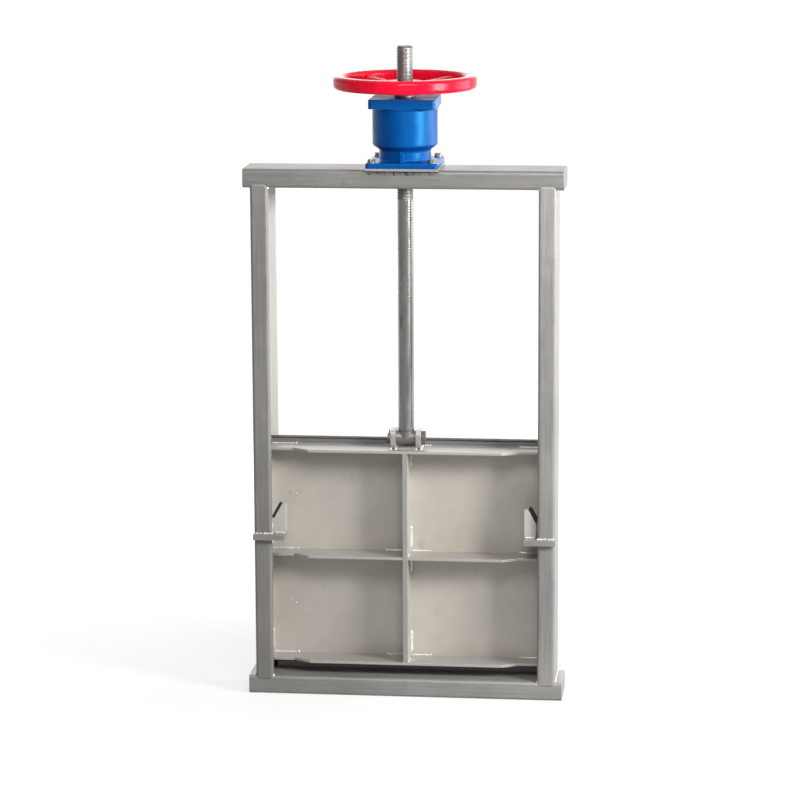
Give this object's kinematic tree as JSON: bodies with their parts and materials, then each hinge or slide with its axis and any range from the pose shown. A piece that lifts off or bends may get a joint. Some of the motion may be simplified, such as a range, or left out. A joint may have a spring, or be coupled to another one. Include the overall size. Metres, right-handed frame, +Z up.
{
  "type": "sluice gate",
  "caption": "Stainless sluice gate: a ribbed leaf slides in a channel frame with rubber seals, raised by a rising screw through a painted hoist with a handwheel on top.",
  "frame": {"origin": "on the screw's axis, at the underside of the base beam", "axes": "+Z up along the screw, +X to the right and +Y away from a viewer who faces the ribs"},
  "size_m": [0.712, 0.32, 1.468],
  "materials": {
    "frame_stainless": "satin",
    "leaf_stainless": "satin",
    "screw_steel": "satin",
    "nut_steel": "dull",
    "seal_rubber": "matte",
    "wedge_facing": "matte",
    "hoist_paint": "gloss",
    "wheel_paint": "gloss"
  },
  "bodies": {
    "frame": {"base_beam": "frame_stainless", "base_end_caps": "frame_stainless", "top_beam": "frame_stainless", "top_end_caps": "frame_stainless", "lintel": "frame_stainless", "hoist_pad": "frame_stainless", "left_post": "frame_stainless", "left_keeper": "frame_stainless", "left_wedge": "frame_stainless", "right_post": "frame_stainless", "right_keeper": "frame_stainless", "right_wedge": "frame_stainless", "left_seal": "seal_rubber", "right_seal": "seal_rubber", "top_seal": "seal_rubber", "bottom_seal": "seal_rubber", "left_wedge_strip": "wedge_facing", "right_wedge_strip": "wedge_facing", "hoist_housing": "hoist_paint", "hoist_cover": "hoist_paint"},
    "leaf": {"skin_plate": "leaf_stainless", "top_rib": "leaf_stainless", "bottom_rib": "leaf_stainless", "centre_rib": "leaf_stainless", "left_middle_rib": "leaf_stainless", "left_stile": "leaf_stainless", "left_lug": "leaf_stainless", "right_middle_rib": "leaf_stainless", "right_stile": "leaf_stainless", "right_lug": "leaf_stainless", "stem": "screw_steel", "stem_eye": "screw_steel", "lug_pin": "screw_steel"},
    "wheel": {"drive_nut": "nut_steel", "lock_nut": "nut_steel", "handwheel": "wheel_paint"}
  },
  "joints": [
    {"name": "wheel_turn", "type": "hinge", "parent": "frame", "child": "wheel", "pos_m": [0, 0, 1.389], "axis": [0, 0, 1], "range_deg": [0, 30240]},
    {"name": "leaf_lift", "type": "slide", "parent": "frame", "child": "leaf", "axis": [0, 0, 1], "range_m": [0, 0.504]}
  ],
  "couplings": [
    {"joint": "leaf_lift", "follows": "wheel_turn", "m_per_rad": 0.00095493}
  ]
}
